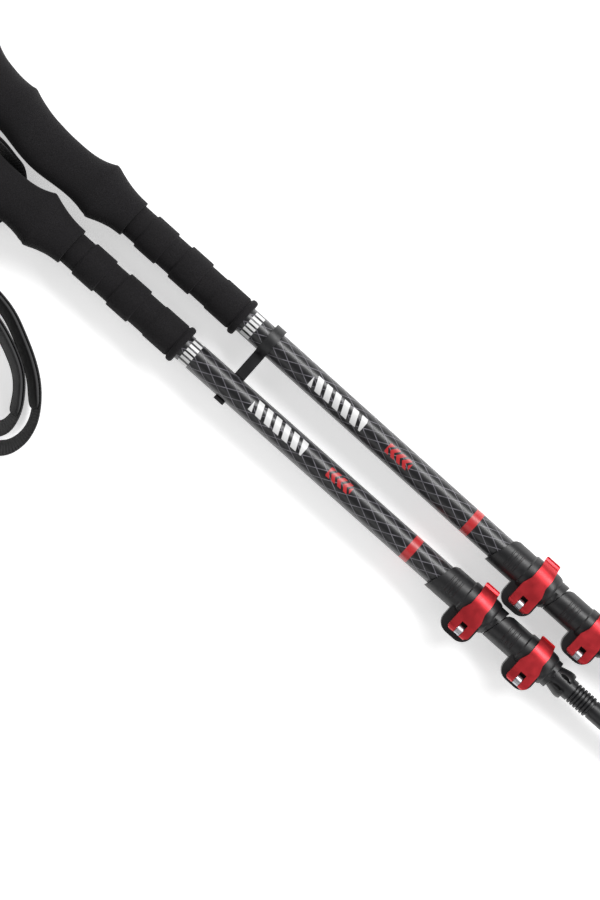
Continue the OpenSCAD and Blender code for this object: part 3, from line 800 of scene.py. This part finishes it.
def attach(piece: Piece, node: str, body: str, finish: Finish) -> None:
    """Dress a visible piece and tie it to the frame.

    Args:
        piece: the visible piece.
        node: CAD node that it stands for.
        body: body that it rides on.
        finish: its finish.
    """
    dress(piece, finish)
    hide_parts(node)
    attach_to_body(piece, body)


# ---- foam ----

GRIP_STATIONS = (
    (-83.3, 11.8, -11.6, 0.02), (-90, 12.1, -12.3, 0.12), (-97, 13.2, -14.2, 0.26),
    (-104, 15.1, -16.9, 0.38), (-106, 15.8, -16.5, 0.4), (-109.2, 16.6, -16, 0.4),
    (-111, 15.8, -15.6, 0.36), (-115, 14.1, -15.1, 0.26), (-120, 12.7, -14.9, 0.12),
    (-126, 11.9, -15.2, 0.02), (-133, 11.7, -15.9, 0), (-140, 11.8, -16.5, 0),
    (-147, 12.3, -16.5, 0.1), (-154, 13.1, -15.8, 0.26), (-161, 14.6, -14.6, 0.46),
    (-167, 16.4, -13.4, 0.64), (-171.6, 18, -12.8, 0.74), (-175, 17.5, -12.6, 0.78),
    (-182, 17.4, -12.6, 0.84), (-189, 18.2, -12.7, 0.9), (-196, 19.6, -13.1, 0.95),
    (-202, 21.9, -13.5, 0.98), (-207, 24.9, -14.3, 1), (-211, 28, -14.8, 0.99),
    (-213.6, 29.8, -12.6, 0.9), (-215.3, 29.9, -10.2, 0.76), (-217, 27.4, -7.6, 0.5),
    (-218.8, 23.6, -3.9, 0.1), (-220.3, 19, 0, -0.6), (-221.2, 14.2, 4.6, -1.7),
)


SLEEVE_OUTLINE = (
    (8.0, -83.3), (9.7, -83.3), (10.0, -82.9), (10.0, -74.0), (10.9, -73.55), (11.08, -73.1),
    (11.08, -59.0), (10.9, -58.6), (10.05, -58.3), (10.0, -57.9), (10.0, -48.9), (10.05, -48.5),
    (11.0, -48.2), (11.2, -47.8), (11.2, -33.6), (11.0, -33.2), (10.05, -32.9), (10.0, -32.5),
    (10.0, -22.2), (10.1, -21.9), (10.5, -21.5), (10.6, -21.1), (10.6, -5.4), (10.4, -5.0),
    (10.1, -4.7), (10.1, -4.2), (10.9, -3.9), (11.5, -3.3), (11.7, -2.4), (11.6, -1.3),
    (11.2, -0.5), (10.6, -0.1), (8.0, 0.0),
)


@dataclass
class FoamHandle:
    """Foam grip with its head, strap slot and banded extension.

    Args:
        axes: the pole it sits on.
        waist: half thickness at the waist, in mm.
        head: half thickness at the head, in mm.
        power: power of the grip's rounded-square section.
        sides: points round the section.
        top: lowest y of the section's upper edge.
        end: station and y of the head's end point.
        end_share: share of the way to that point at which the head is capped.
        bore: radius of the tube inside.
        bore_end: station where the bore ends inside the head.
        slot_x: station of the strap slot's middle.
        slot_half: half length of the slot.
        slot_floor: y of the slot's floor.
        slot_width: half width of the slot.
        slot_round: radius of the slot's edges.
    """

    axes: PoleAxes
    waist: float = 11.2
    head: float = 16.0
    power: float = 2.3
    sides: int = 56
    top: float = 9.0
    end: tuple[float, float] = (-221.4, 9.4)
    end_share: float = 0.6
    bore: float = 8.0
    bore_end: float = -193.5
    slot_x: float = -203.5
    slot_half: float = 4.0
    slot_floor: float = -6.0
    slot_width: float = 9.8
    slot_round: float = 1.2

    def ring(self, station: Sequence[float]) -> Ring:
        """Section of the grip at one station."""
        x, high, low, share = station
        middle, half = (high + low) / 2, (high - low) / 2
        thick = self.waist + share * (self.head - self.waist)
        ring = []
        for k in range(self.sides):
            a = 2 * math.pi * k / self.sides
            c, s = math.cos(a), math.sin(a)
            y = middle + half * math.copysign(abs(c) ** (2 / self.power), c)
            z = thick * math.copysign(abs(s) ** (2 / self.power), s)
            ring.append(self.axes.point(x, y, z))
        return ring

    def cut(self, piece: Piece, middle: Sequence[float], round_by: float = 0.0) -> None:
        """Cut the active block out of a piece and remove the block.

        Args:
            piece: the foam that is cut.
            middle: where the block's middle goes, in the pole's axes.
            round_by: radius of the block's edges in mm, or 0 for sharp ones.
        """
        block = bpy.context.active_object
        block.rotation_euler.z = math.radians(self.axes.turn)
        block.location = self.axes.point(*middle)
        bpy.ops.object.transform_apply(location=True, rotation=True, scale=True)
        if round_by:
            apply_modifier(block, "BEVEL", width=round_by * MM, segments=4)
        apply_modifier(piece, "BOOLEAN", operation="DIFFERENCE", object=block, solver="EXACT")
        bpy.data.objects.remove(block)

    def grip(self) -> Piece:
        """Build the upper grip with its head and strap slot."""
        stations = spline(GRIP_STATIONS, 4, closed=False)
        for row in stations:
            row[1] = max(row[1], self.top)
        rings = [self.ring(row) for row in stations]
        tip = self.axes.point(*self.end)
        cap = [Vector(p).lerp(tip, self.end_share) for p in self.ring(GRIP_STATIONS[-1])]
        piece = loft(f"{self.axes.prefix}_foam_grip", rings + [cap], closed=False)
        depth, length = 30.0, 200.0
        deselect_all()
        bpy.ops.mesh.primitive_cube_add(size=1)
        sides = Vector((2 * self.slot_half, depth, 2 * self.slot_width))
        bpy.context.active_object.scale = sides * MM
        self.cut(piece, (self.slot_x, self.slot_floor - depth / 2, 0), self.slot_round)
        deselect_all()
        bpy.ops.mesh.primitive_cylinder_add(vertices=48, radius=self.bore * MM, depth=length * MM)
        bpy.context.active_object.rotation_euler.y = math.pi / 2
        self.cut(piece, (self.bore_end + length / 2, 0))
        smooth_by_angle(piece, 35)
        return piece

    def extension(self) -> Piece:
        """Build the banded lower sleeve with its end bead."""
        rings = []
        for r, x in SLEEVE_OUTLINE:
            rings.append([
                self.axes.point(x, r * math.cos(2 * math.pi * k / self.sides),
                                r * math.sin(2 * math.pi * k / self.sides))
                for k in range(self.sides)
            ])
        piece = loft(f"{self.axes.prefix}_foam_sleeve", rings, closed=True)
        smooth_by_angle(piece, 50)
        return piece

    def build(self) -> list[Piece]:
        """Build, dress and attach both foam pieces."""
        made = []
        for piece, node in ((self.grip(), "grip"), (self.extension(), "grip_extension")):
            attach(piece, self.axes.node(node), self.axes.body, FOAM)
            made.append(piece)
        return made


# ---- straps ----

ROUTE_A = (
    (-198.5, -22, 15.2, 0), (-192, -33, 13.5, 8), (-180, -43, 12.2, 14), (-163, -50, 11.8, 16),
    (-143, -54, 11.8, 16), (-120, -56, 11.8, 16), (-99, -57, 11.8, 16), (-85, -59, 11.8, 16),
    (-70, -64.5, 11.8, 16), (-58, -71.5, 11.8, 16), (-49.5, -81, 11.8, 16), (-45, -91, 11.8, 20),
    (-45.5, -100.5, 11.4, 28), (-53, -107.5, 11.2, 30), (-66, -110, 11.2, 28),
    (-88, -110.5, 11.6, 20), (-112, -110, 11.8, 16), (-138, -111, 11.8, 16),
    (-163, -109.5, 11.8, 16), (-186, -99, 11.8, 16), (-202, -79, 12, 14), (-209, -55, 12.6, 10),
    (-209.5, -34, 14, 4), (-207.5, -22, 15.2, 0),
)
ROUTE_B = (
    (-189.6, 20.4, 16, 0), (-186, 18.9, 15.7, 0), (-180, 18.6, 14.6, 0), (-173, 19.1, 13, 0),
    (-166, 18.2, 11.6, 2), (-158, 16.4, 10.7, 8), (-150, 14.6, 10.3, 20), (-143.5, 12.2, 9, 38),
    (-137.5, 9.1, 6.6, 62), (-133, 3.8, 3.6, 84), (-130.5, -3.5, 2.65, 90),
    (-131, -12, 2.65, 90), (-134, -21, 2.65, 90), (-136, -29, 4.2, 80), (-135, -36.5, 8, 54),
    (-130, -43, 10.4, 32), (-121, -47, 11.2, 22), (-110, -47.8, 11.4, 18), (-98, -47.5, 11.4, 18),
    (-84, -50, 11.4, 18), (-70, -56, 11.4, 18), (-57, -63, 11.4, 18), (-46.5, -71, 11.4, 18),
    (-38.5, -80.5, 11.4, 18), (-34.2, -90, 11.4, 20), (-33.8, -100, 11.2, 24),
    (-38, -109, 11, 28), (-49, -116, 10.8, 28), (-66, -119.5, 11, 24), (-88, -121, 11.2, 20),
    (-112, -122, 11, 12), (-131, -124, 10.6, -6), (-147, -126, 8.8, -34), (-159, -124.5, 5.4, -62),
    (-168, -118, 1.95, -84), (-171, -107, 1.05, -90), (-168, -94, 1.05, -90),
    (-163, -80, 1.05, -90), (-156, -65, 1.05, -90), (-149, -50, 1.05, -90),
    (-142.5, -36, 1.05, -90), (-136.5, -23, 1.05, -90), (-131.5, -12, 1.05, -90),
    (-130.3, -3.5, 1.05, -90), (-132.8, 3.9, 1.96, -84), (-136.9, 9.7, 5.2, -62),
    (-142.9, 13.3, 7.95, -38), (-149.8, 16.2, 9.75, -20), (-158, 18, 10.3, -8),
    (-166, 19.9, 11.6, -2), (-173, 20.9, 13, 0), (-180, 20.4, 14.8, 0), (-184.1, 20.5, 15.8, 0),
)


FINE = 8  # curve points to each stretch of a route


@dataclass
class WristStrap:
    """Loop of ribbed webbing round the strap pin, with a pad sewn inside it.

    Args:
        axes: the pole whose pin it goes round.
        route: points x, y, height and lean in pole A's axes.
        side: 1 if the route leaves the slot at the tip side, -1 if at the head side.
        span: route points between which the pad lies.
        width: width of the webbing in mm.
        thick: thickness of the webbing.
        pad_width: width of the pad.
        pad_thick: thickness of the pad.
        pad_gap: gap between the webbing and the pad.
        pad_under: thickness of the pad's flatter underside, as a share of its crown's.
        end_width: width of the pad's ends as a share of its width.
        end_thick: thickness of the pad's ends as a share of its thickness.
        widens: length over which the pad widens from its ends.
        thickens: length over which it thickens.
        pin_x: station of the strap pin.
        pin_y: y of the strap pin.
        turn: radius of the webbing's turn round the pin.
        reach: straight run from the pin to the slot's mouth.
        step: distance between rings in mm.
    """

    axes: PoleAxes
    route: Sequence[Sequence[float]]
    side: int
    span: tuple[int, int]
    width: float = 18.0
    thick: float = 1.3
    pad_width: float = 20.0
    pad_thick: float = 2.2
    pad_gap: float = 0.3
    pad_under: float = 0.9
    end_width: float = 0.45
    end_thick: float = 0.2
    widens: float = 5.0
    thickens: float = 8.0
    pin_x: float = -203.5
    pin_y: float = -10.0
    turn: float = 2.85
    reach: float = 2.4
    step: float = 0.55

    def in_first(self, x: float, y: float) -> tuple[float, float]:
        """Turn a point of this pole into pole A's axes."""
        p = self.axes.point(x, y) / MM
        return p.x - POLE_A.along, p.y - POLE_A.across

    def line(self) -> tuple[list[list[float]], int]:
        """Control points of the whole loop and the index of the route's first one."""
        height = self.axes.height
        turn = []
        for a in range(-180, 1, 30):
            c, s = cos_sin(a)
            turn.append((self.pin_x + self.side * self.turn * c, self.pin_y - self.turn * s))
        out = (self.pin_x + self.side * self.turn, self.pin_y - self.reach)
        back = (self.pin_x - self.side * self.turn, self.pin_y - self.reach)
        points = [[*self.in_first(*p), height, 0.0] for p in (*turn, out)]
        points += [list(map(float, p)) for p in self.route]
        points.append([*self.in_first(*back), height, 0.0])
        return points, len(turn) + 1

    def frames(self, rows: Sequence[Sequence[float]], closed: bool) -> list[Frame]:
        """Middle, width direction and face direction at each point of a row."""
        last = len(rows) - 1
        places = [Vector(row[:3]) for row in rows]
        frames = []
        for i, row in enumerate(rows):
            before, after = (i - 1, i + 1) if closed else (max(i - 1, 0), min(i + 1, last))
            run = (places[after % len(rows)] - places[before]).normalized()
            side = Vector((0, 0, 1)).cross(run).normalized()
            c, s = cos_sin(row[3])
            wide = run.cross(side) * c + side * s
            frames.append((places[i], wide, run.cross(wide)))
        return frames

    def even(self, rows: list[list[float]], closed: bool) -> tuple[list[list[float]], list[float]]:
        """Respace a row of points evenly.

        Args:
            rows: points of a fine curve.
            closed: whether the row returns to its start.

        Returns:
            The new points and the arc length at each in metres, with one more length if closed.
        """
        ring = rows + rows[:1] if closed else rows
        run = [0.0]
        for a, b in zip(ring, ring[1:]):
            run.append(run[-1] + (Vector(b[:3]) - Vector(a[:3])).length)
        count = max(2, round(run[-1] / self.step))
        spaced, lengths, at = [], [], 0
        for k in range(count + 1):
            goal = run[-1] * k / count
            while at < len(run) - 2 and run[at + 1] < goal:
                at += 1
            share = (goal - run[at]) / max(run[at + 1] - run[at], 1e-9)
            spaced.append([a + (b - a) * share for a, b in zip(ring[at], ring[at + 1])])
            lengths.append(goal * MM)
        return (spaced[:-1] if closed else spaced), lengths

    @staticmethod
    def section(frame: Frame, upper: Outline, under: float = 1.0, drop: float = 0.0) -> Ring:
        """Place a band's section at one frame.

        Args:
            frame: middle, width direction and face direction of the band.
            upper: width and height pairs from one edge to the middle of the upper face.
            under: height of the lower face as a share of the upper one's.
            drop: how far the section is moved back from the upper face, in mm.

        Returns:
            The section's points in the frame.
        """
        middle, wide, out = frame
        outline = list(upper) + [(-w, n) for w, n in upper[-2::-1]]
        outline += [(w, -n * under) for w, n in reversed(outline[1:-1])]
        points = (middle + wide * w + out * (n - drop) for w, n in outline)
        return [POLE_A.over_floor(*p) for p in points]

    def webbing(self) -> tuple[Piece, float]:
        """Build the webbing loop and return it with its length in metres."""
        points, _ = self.line()
        rows, lengths = self.even(spline(points, FINE, closed=True), closed=True)
        half, edge = self.width / 2, self.thick / 2
        upper = [(-half, 0.0), (-half + 0.12, 0.42 * edge), (-half + 0.5, 0.86 * edge),
                 (-half + 1.1, edge), (-half * 0.5, edge), (0.0, edge)]
        rings = [self.section(frame, upper) for frame in self.frames(rows, closed=True)]
        piece = loft(f"{self.axes.prefix}_webbing", rings, True, lengths)
        smooth_by_angle(piece, 60)
        return piece, lengths[-1]

    def pad(self) -> Piece:
        """Build the crowned pad with its stitched binding and tapered ends."""
        points, first = self.line()
        whole = spline(points, FINE, closed=True)
        start, end = ((first + self.span[k]) * FINE for k in (0, 1))
        frames = self.frames(whole, closed=True)[start:end + 1]
        half, crown = self.pad_width / 2, self.pad_thick / 2
        shift = self.thick / 2 + self.pad_gap + crown
        shifted = [[*(middle + out * shift), row[3]]
                   for row, (middle, _, out) in zip(whole[start:end + 1], frames)]
        spaced, lengths = self.even(shifted, closed=False)
        upper = ((-half, 0.0), (-half + 0.15, 0.45), (-half + 0.55, 0.78), (-half + 1.2, 0.85),
                 (-half + 1.75, 0.68), (-half + 1.95, 0.42), (-half + 2.15, 0.55),
                 (-half + 2.9, 0.8), (-half * 0.5, 0.96), (0.0, 1.0))
        rings, last = [], len(spaced) - 1
        for i, frame in enumerate(self.frames(spaced, closed=False)):
            near = min(i, last - i) * self.step
            round_end = math.sqrt(max(0.0, 1 - (1 - min(near, self.widens) / self.widens) ** 2))
            narrow = min(1.0, round_end * (1 - self.end_width) + self.end_width)
            rise = math.sqrt(near / self.thickens)
            flat = min(1.0, self.end_thick + (1 - self.end_thick) * rise)
            shape = [(w * narrow, n * crown * flat) for w, n in upper]
            rings.append(self.section(frame, shape, self.pad_under, crown * (1 - flat)))
        piece = loft(f"{self.axes.prefix}_wrist_pad", rings, False, lengths)
        smooth_by_angle(piece, 60)
        return piece

    def build(self) -> list[Piece]:
        """Build, dress and attach the webbing and its pad."""
        webbing, length = self.webbing()
        pad = self.pad()
        for piece, node, slot, finish in (
            (webbing, "strap", Slot.WEBBING, WEBBING), (pad, "strap_pad", Slot.PAD, PAD_CLOTH),
        ):
            attach(piece, self.axes.node(node), self.axes.body, finish)
        self.axes.node("strap_pin")
        LOG.info("%s: webbing %.1f mm long", self.axes.prefix, length / MM)
        return [webbing, pad]


# ---- CAD pieces ----

PLAIN_FINISHES = {
    "grip_plug": PLUG, "strap_pin": STEEL, "middle_bushing": BUSHING, "lower_bushing": BUSHING,
    "ferrule": TIP, "tip_holder": TIP, "carbide_tip": CARBIDE,
}
CLAMP_FINISHES = {
    "clamp": CLAMP, "cam_plate": STEEL, "lever": LEVER, "lever_pin": STEEL, "eye_bolt": STEEL,
    "nut": NUT,
}


def dress_frame() -> None:
    """Dress the CAD nodes that stay in sight."""
    finishes = dict(PLAIN_FINISHES)
    for level in ("upper", "lower"):
        finishes.update({f"{level}_{name}": kind for name, kind in CLAMP_FINISHES.items()})
    for axes in POLES:
        tubes = {
            "upper_tube": carbon(axes, Print.TRIM),
            "middle_tube": carbon(axes, Print.SCALE, -20.0),
            "lower_tube": carbon(axes, Print.SCALE, 10.0),
        }
        for name, finish in {**finishes, **tubes}.items():
            dress(bpy.data.objects[axes.node(name)], finish)
    dress(bpy.data.objects["pole_clip"], CLIP)


@dataclass(frozen=True)
class RoundedCopy:
    """A hard moulded or machined piece shown by a copy of its CAD node with rounded edges.

    Args:
        node: name of the CAD node.
        body: body that it rides on.
        slot: a material slot of the record; not used.
        finish: its finish.
        width: width of the rounding in mm.
        angle: edges sharper than this angle are rounded, in degrees.
        weld: points nearer to each other than this are joined, in mm.
        flat: faces that meet at less than this angle are joined, in degrees.
    """

    node: str
    body: str
    slot: Slot
    finish: Finish
    width: float = 0.3
    angle: float = 28.0
    weld: float = 0.004
    flat: float = 1.0

    def build(self) -> list[Piece]:
        """Copy the node, round its edges, dress it and attach it."""
        source = bpy.data.objects[self.node]
        mesh = source.data.copy()
        piece = bpy.data.objects.new(f"{self.node}_shell", mesh)
        bpy.context.collection.objects.link(piece)
        piece.matrix_world = source.matrix_world.copy()
        build = bmesh.new()
        build.from_mesh(mesh)
        bmesh.ops.remove_doubles(build, verts=build.verts, dist=self.weld * MM)
        bmesh.ops.dissolve_limit(build, angle_limit=math.radians(self.flat),
                                 verts=build.verts, edges=build.edges)
        build.to_mesh(mesh)
        build.free()
        make_active(piece)
        bpy.ops.object.transform_apply(location=True, rotation=True, scale=True)
        bpy.ops.mesh.customdata_custom_splitnormals_clear()
        apply_modifier(piece, "BEVEL", width=self.width * MM, segments=3, limit_method="ANGLE",
                       angle_limit=math.radians(self.angle), use_clamp_overlap=True)
        smooth_by_angle(piece, 32)
        attach(piece, self.node, self.body, self.finish)
        return [piece]


def rounded_copies() -> list[RoundedCopy]:
    """List the hard pieces that are shown with rounded edges."""
    kinds = (
        ("clamp", Slot.CLAMP, CLAMP, 0.28), ("lever", Slot.LEVER, LEVER, 0.32),
        ("eye_bolt", Slot.STEEL, STEEL, 0.3),
    )
    copies = []
    for axes in POLES:
        carriers = {"upper": axes.body, "lower": axes.node("middle_section")}
        for part, slot, finish, width in kinds:
            for level, carrier in carriers.items():
                node = axes.node(f"{level}_{part}")
                body = f"{node}_body" if part == "lever" else carrier
                copies.append(RoundedCopy(node, body, slot, finish, width))
        copies.append(
            RoundedCopy(axes.node("ferrule"), axes.node("lower_section"), Slot.TIP, TIP, 0.18))
    copies.append(RoundedCopy("pole_clip", "clip", Slot.CLIP, CLIP, 0.35))
    return copies


# ---- studio ----


@dataclass(frozen=True)
class SoftLight:
    """One area light.

    Args:
        name: name of the light.
        place: where it hangs, in metres.
        size: its two sides in metres.
        power: its power in watts.
    """

    name: str
    place: tuple[float, float, float]
    size: tuple[float, float]
    power: float

    def build(self, aim: Vector) -> None:
        """Add the light and turn it towards a point."""
        data = bpy.data.lights.new(self.name, "AREA")
        data.shape = "RECTANGLE"
        data.size, data.size_y = self.size
        data.energy = self.power
        light = bpy.data.objects.new(self.name, data)
        light.location = self.place
        light.rotation_euler = (aim - Vector(self.place)).to_track_quat("-Z", "Y").to_euler()
        bpy.context.collection.objects.link(light)


LIGHTS = (
    SoftLight("key", (0.3, 1.25, 1.35), (2.2, 0.5), 36.0),
    SoftLight("fill", (0.2, -1.5, 1.3), (2.4, 1.2), 6.0),
    SoftLight("head_side", (-1.7, 0.1, 1.1), (1.2, 2.0), 7.0),
    SoftLight("tip_side", (1.7, -0.1, 1.1), (1.2, 2.0), 7.0),
)
FLOOR_PAPER = Finish("floor_paper", (0.92, 0.92, 0.92), rough=0.9, specular=0.1, glow=0.5)


@dataclass
class Studio:
    """Floor, lights, world and camera.

    Args:
        lens: focal length in mm.
        sensor: width of the camera's sensor in mm.
        sight: how far the camera sees, in metres.
        long_side: length that the image's long side covers at the poles' height, in metres.
        roll: angle of the image's right side from the frame's x axis, in degrees.
        aim: point of pole A that the camera looks at, in mm.
        floor_size: side of the floor in metres.
        ambient: strength of the pale world.
    """

    lens: float = 180.0
    sensor: float = 36.0
    sight: float = 50.0
    long_side: float = 0.5
    roll: float = 41.62
    aim: tuple[float, float] = (86.5, 0.0)
    floor_size: float = 6.0
    ambient: float = 0.15

    def camera(self) -> None:
        """Add the camera, looking straight down."""
        data = bpy.data.cameras.new("camera")
        data.lens = self.lens
        data.sensor_width = self.sensor
        data.clip_end = self.sight
        camera = bpy.data.objects.new("camera", data)
        target = POLE_A.point(*self.aim)
        away = self.long_side * self.lens / data.sensor_width
        camera.location = target + Vector((0, 0, away))
        camera.rotation_euler = Euler((0, 0, math.radians(self.roll)))
        bpy.context.collection.objects.link(camera)
        bpy.context.scene.camera = camera

    def floor(self) -> None:
        """Add a plain pale floor."""
        deselect_all()
        bpy.ops.mesh.primitive_plane_add(size=self.floor_size)
        floor = bpy.context.active_object
        floor.name = "floor"
        dress(floor, FLOOR_PAPER)

    def lights(self) -> None:
        """Add the soft lights and the pale world."""
        for light in LIGHTS:
            light.build(Vector((0, 0, 0)))
        world = bpy.data.worlds.new("world")
        bpy.context.scene.world = world
        world.use_nodes = True
        back = world.node_tree.nodes["Background"]
        back.inputs[0].default_value = (1.0, 1.0, 1.0, 1.0)
        back.inputs[1].default_value = self.ambient

    def build(self) -> None:
        """Build the whole studio."""
        self.floor()
        self.lights()
        self.camera()
        bpy.context.scene.view_settings.view_transform = "Standard"


def main() -> None:
    """Build every piece in order and report it."""
    logging.basicConfig(level=logging.INFO, format="%(name)s: %(message)s")
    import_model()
    Studio().build()
    dress_frame()
    makers: list = [FoamHandle(axes) for axes in POLES]
    makers += [WristStrap(POLE_A, ROUTE_A, 1, (4, 11)), WristStrap(POLE_B, ROUTE_B, -1, (17, 23))]
    makers += rounded_copies()
    for maker in makers:
        for piece in maker.build():
            LOG.info("%s: %d faces", piece.name, len(piece.data.polygons))


if __name__ == "__main__":
    main()
